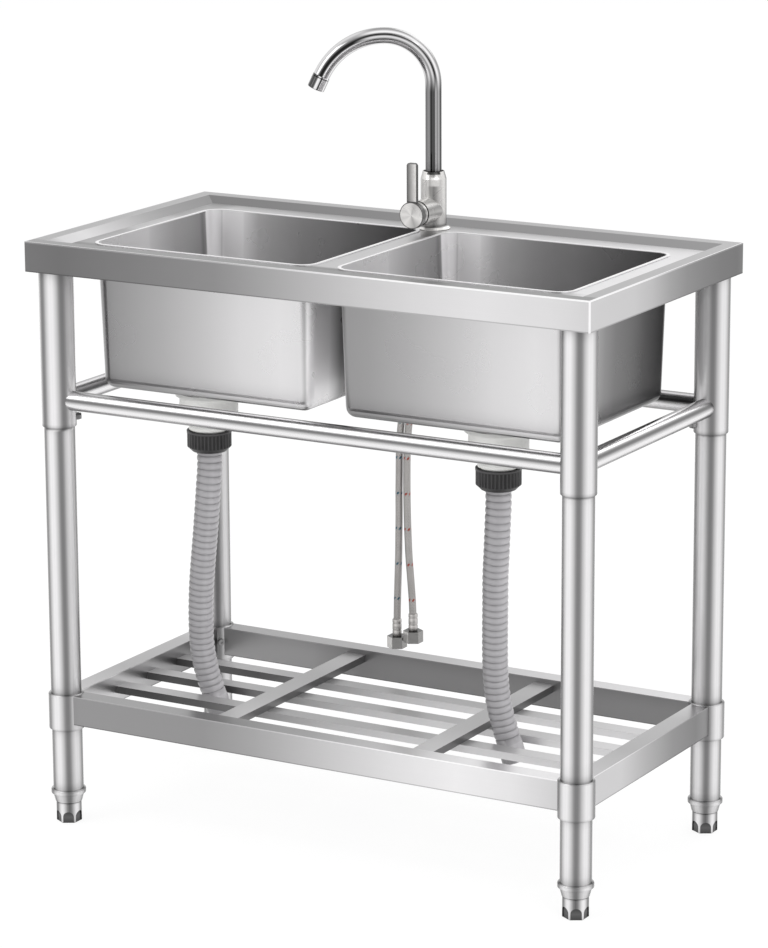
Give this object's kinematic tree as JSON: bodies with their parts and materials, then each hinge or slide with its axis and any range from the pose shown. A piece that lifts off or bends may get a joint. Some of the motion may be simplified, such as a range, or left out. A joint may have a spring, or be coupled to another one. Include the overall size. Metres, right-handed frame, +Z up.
{
  "type": "kitchen sink unit",
  "caption": "Free-standing stainless steel sink with double bowl, gooseneck mixer, ribbed drain hoses and a slatted lower shelf on round legs.",
  "frame": {"origin": "centre of the footprint on the floor", "axes": "+Z up, -Y to the front, +X to the right"},
  "size_m": [0.83, 0.44, 1.062],
  "materials": {
    "sheet_steel": "brushed along the sheet",
    "bowl_steel": "brushed along the walls",
    "frame_steel": "brushed along the bar",
    "tube_steel": "satin polished",
    "strainer_steel": "polished",
    "fastener_steel": "plain",
    "foot_metal": "satin",
    "faucet_nickel": "brushed nickel",
    "faucet_chrome": "polished",
    "black_rubber": "matt",
    "black_plastic": "fine grained",
    "drain_plastic": "moulded",
    "hose_plastic": "soft and slightly translucent",
    "braided_steel": "fine braid"
  },
  "bodies": {
    "root": {"sink_top": "sheet_steel", "left_bowl": "bowl_steel", "right_bowl": "bowl_steel", "deck_braces": "frame_steel", "leg_mounts": "frame_steel", "foot_collars": "tube_steel", "front_rail": "tube_steel", "back_rail": "tube_steel", "left_rail": "tube_steel", "right_rail": "tube_steel", "shelf_front_beam": "frame_steel", "shelf_back_beam": "frame_steel", "shelf_left_beam": "frame_steel", "shelf_right_beam": "frame_steel", "shelf_slats": "frame_steel", "shelf_crossbars": "frame_steel", "shelf_sockets": "tube_steel", "set_screws": "fastener_steel", "left_strainer": "strainer_steel", "right_strainer": "strainer_steel", "drain_gaskets": "black_rubber", "left_drain_body": "drain_plastic", "right_drain_body": "drain_plastic", "drain_screws": "fastener_steel", "union_nuts": "black_plastic", "left_drain_hose": "hose_plastic", "right_drain_hose": "hose_plastic", "faucet_flange": "faucet_nickel", "faucet_body": "faucet_nickel", "cartridge": "drain_plastic", "cartridge_nut": "faucet_nickel", "faucet_shank": "faucet_nickel", "mounting_washer": "fastener_steel", "mounting_nut": "fastener_steel", "hot_hose": "braided_steel", "cold_hose": "braided_steel", "supply_nuts": "faucet_chrome", "front_left_sleeve": "tube_steel", "front_left_leg": "tube_steel", "front_right_sleeve": "tube_steel", "front_right_leg": "tube_steel", "back_left_sleeve": "tube_steel", "back_left_leg": "tube_steel", "back_right_sleeve": "tube_steel", "back_right_leg": "tube_steel"},
    "spout": {"spout": "faucet_chrome", "spout_bush": "black_plastic", "aerator": "faucet_chrome"},
    "valve_rotor": {"cartridge_rotor": "drain_plastic"},
    "handle": {"handle": "faucet_nickel", "cartridge_stem": "fastener_steel", "handle_screw": "fastener_steel"},
    "left_basket": {"left_basket": "strainer_steel"},
    "right_basket": {"right_basket": "strainer_steel"},
    "left_plug": {"left_basket_plug": "black_rubber"},
    "right_plug": {"right_basket_plug": "black_rubber"},
    "front_left_foot": {"front_left_foot": "foot_metal"},
    "front_right_foot": {"front_right_foot": "foot_metal"},
    "back_left_foot": {"back_left_foot": "foot_metal"},
    "back_right_foot": {"back_right_foot": "foot_metal"}
  },
  "joints": [
    {"name": "spout_swivel", "type": "hinge", "parent": "root", "child": "spout", "pos_m": [-0.012, 0.158, 0.85], "axis": [0, 0, 1], "continuous": true},
    {"name": "handle_turn", "type": "hinge", "parent": "root", "child": "valve_rotor", "pos_m": [-0.012, 0.118, 0.8185], "axis": [0, -1, 0], "range_deg": [-45, 45]},
    {"name": "handle_lift", "type": "hinge", "parent": "valve_rotor", "child": "handle", "pos_m": [-0.012, 0.118, 0.8185], "axis": [1, 0, 0], "range_deg": [0, 25]},
    {"name": "front_left_foot_screw", "type": "slide", "parent": "root", "child": "front_left_foot", "axis": [0, 0, -1], "range_m": [0, 0.02]},
    {"name": "front_right_foot_screw", "type": "slide", "parent": "root", "child": "front_right_foot", "axis": [0, 0, -1], "range_m": [0, 0.02]},
    {"name": "back_left_foot_screw", "type": "slide", "parent": "root", "child": "back_left_foot", "axis": [0, 0, -1], "range_m": [0, 0.02]},
    {"name": "back_right_foot_screw", "type": "slide", "parent": "root", "child": "back_right_foot", "axis": [0, 0, -1], "range_m": [0, 0.02]},
    {"name": "left_basket_lift", "type": "slide", "parent": "root", "child": "left_basket", "axis": [0, 0, 1], "range_m": [0, 0.25]},
    {"name": "left_plug_lift", "type": "slide", "parent": "left_basket", "child": "left_plug", "axis": [0, 0, 1], "range_m": [0, 0.008]},
    {"name": "right_basket_lift", "type": "slide", "parent": "root", "child": "right_basket", "axis": [0, 0, 1], "range_m": [0, 0.25]},
    {"name": "right_plug_lift", "type": "slide", "parent": "right_basket", "child": "right_plug", "axis": [0, 0, 1], "range_m": [0, 0.008]}
  ]
}
